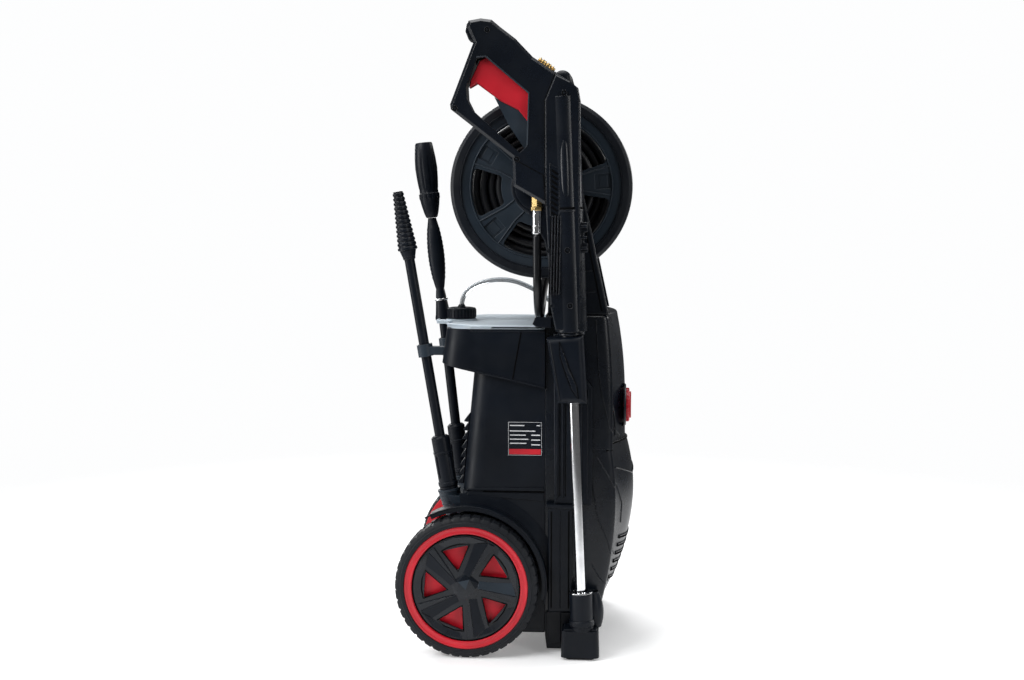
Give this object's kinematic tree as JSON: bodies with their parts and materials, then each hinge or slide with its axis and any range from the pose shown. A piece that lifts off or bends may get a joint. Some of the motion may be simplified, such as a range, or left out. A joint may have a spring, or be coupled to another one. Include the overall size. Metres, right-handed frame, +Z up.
{
  "type": "pressure washer",
  "caption": "Upright electric pressure washer on wheels with a hose reel on top, a spray gun with lance clipped to its side and spare lances on its back.",
  "frame": {"origin": "on the floor, under the middle of the machine's box", "axes": "+Z up; the front faces -Y, the wheels and spare lances are at +Y, the spray gun hangs on the -X side"},
  "size_m": [0.345, 0.3559, 0.905],
  "materials": {
    "steel": "brushed steel",
    "black_plastic": "fine-grained moulded black plastic",
    "brass": "machined brass",
    "grey_plastic": "dark slate-grey moulded plastic",
    "tank_plastic": "translucent pale bluish plastic",
    "clear_tube": "clear flexible tube",
    "cover_plastic": "smooth black plastic with a low gloss",
    "chrome": "polished chrome",
    "motor_alloy": "cast aluminium",
    "hose_rubber": "smooth black hose rubber",
    "red_plastic": "red moulded plastic",
    "foot_rubber": "matt rubber",
    "tyre_rubber": "matt treaded rubber"
  },
  "bodies": {
    "machine": {"lower_housing": "black_plastic", "main_housing": "black_plastic", "rear_louvres": "black_plastic", "base_tray": "black_plastic", "rubber_feet": "foot_rubber", "front_cover": "cover_plastic", "front_skirt": "cover_plastic", "side_columns": "black_plastic", "wheel_arches": "black_plastic", "tank_carrier": "black_plastic", "holster_cup": "black_plastic", "lance_socket": "black_plastic", "lance_clip": "grey_plastic", "lance_cups": "grey_plastic", "motor": "motor_alloy", "pump": "motor_alloy", "water_inlet": "brass", "cable_gland": "black_plastic", "wheel_axle": "steel", "axle_caps": "steel", "reel_arm_left": "black_plastic", "reel_arm_right": "black_plastic", "reel_bushings": "grey_plastic", "feed_nipple": "black_plastic", "detergent_tank": "tank_plastic", "feed_tube": "clear_tube", "pressure_hose": "hose_rubber"},
    "wheel_left": {"tyre_left": "tyre_rubber", "rim_left": "red_plastic", "hub_cover_left": "cover_plastic"},
    "wheel_right": {"tyre_right": "tyre_rubber", "rim_right": "red_plastic", "hub_cover_right": "cover_plastic"},
    "reel": {"reel_flange_left": "grey_plastic", "reel_flange_right": "grey_plastic", "reel_drum": "grey_plastic", "wound_hose": "hose_rubber", "reel_shaft": "chrome", "crank_arm": "black_plastic"},
    "winder_knob": {"crank_knob": "grey_plastic"},
    "handle": {"handle_legs": "black_plastic", "handle_grip": "black_plastic"},
    "switch": {"switch_knob": "red_plastic"},
    "cap": {"tank_cap": "black_plastic"},
    "gun": {"gun_shell_left": "cover_plastic", "gun_shell_right": "cover_plastic", "gun_valve": "brass", "inlet_nut": "brass", "hose_ferrule": "chrome", "lance_tube": "chrome", "lance_nozzle": "grey_plastic", "brass_coupler": "brass", "trigger_pin": "steel"},
    "trigger": {"trigger_pad": "red_plastic", "trigger_arm": "grey_plastic"},
    "turbo": {"turbo_lance": "black_plastic", "turbo_head": "black_plastic"},
    "vario": {"vario_lance": "black_plastic", "vario_grip": "black_plastic"},
    "vario_nozzle": {"vario_head": "black_plastic"}
  },
  "joints": [
    {"name": "wheel_left_turn", "type": "hinge", "parent": "machine", "child": "wheel_left", "pos_m": [-0.145, 0.063, 0.1035], "axis": [1, 0, 0], "continuous": true},
    {"name": "wheel_right_turn", "type": "hinge", "parent": "machine", "child": "wheel_right", "pos_m": [0.145, 0.063, 0.1035], "axis": [1, 0, 0], "continuous": true},
    {"name": "reel_turn", "type": "hinge", "parent": "machine", "child": "reel", "pos_m": [0, -0.0395, 0.676], "axis": [1, 0, 0], "continuous": true},
    {"name": "winder_knob_turn", "type": "hinge", "parent": "reel", "child": "winder_knob", "pos_m": [0.15, 0.0045, 0.75221], "axis": [1, 0, 0], "continuous": true},
    {"name": "handle_slide", "type": "slide", "parent": "machine", "child": "handle", "axis": [0, 0, 1], "range_m": [0, 0.2]},
    {"name": "switch_turn", "type": "hinge", "parent": "machine", "child": "switch", "pos_m": [0, -0.165, 0.348], "axis": [0, -1, 0], "range_deg": [0, 90]},
    {"name": "tank_cap_turn", "type": "hinge", "parent": "machine", "child": "cap", "pos_m": [-0.005, 0.085, 0.48], "axis": [0, 0, 1], "range_deg": [0, 180]},
    {"name": "gun_lift", "type": "slide", "parent": "machine", "child": "gun", "axis": [0, 0.0391, 0.9992], "range_m": [0, 0.07]},
    {"name": "trigger_pull", "type": "hinge", "parent": "gun", "child": "trigger", "pos_m": [-0.15, -0.027, 0.716], "axis": [1, 0, 0], "range_deg": [0, 9], "stiffness_Nm_per_rad": 2, "springref_deg": -11.46},
    {"name": "turbo_lift", "type": "slide", "parent": "machine", "child": "turbo", "axis": [0, 0.1657, 0.9862], "range_m": [0, 0.05]},
    {"name": "vario_lift", "type": "slide", "parent": "machine", "child": "vario", "axis": [0, 0.1107, 0.9939], "range_m": [0, 0.05]},
    {"name": "vario_nozzle_turn", "type": "hinge", "parent": "vario", "child": "vario_nozzle", "pos_m": [0.03, 0.09, 0.232], "axis": [0, 0.1107, 0.9939], "range_deg": [0, 90]}
  ]
}
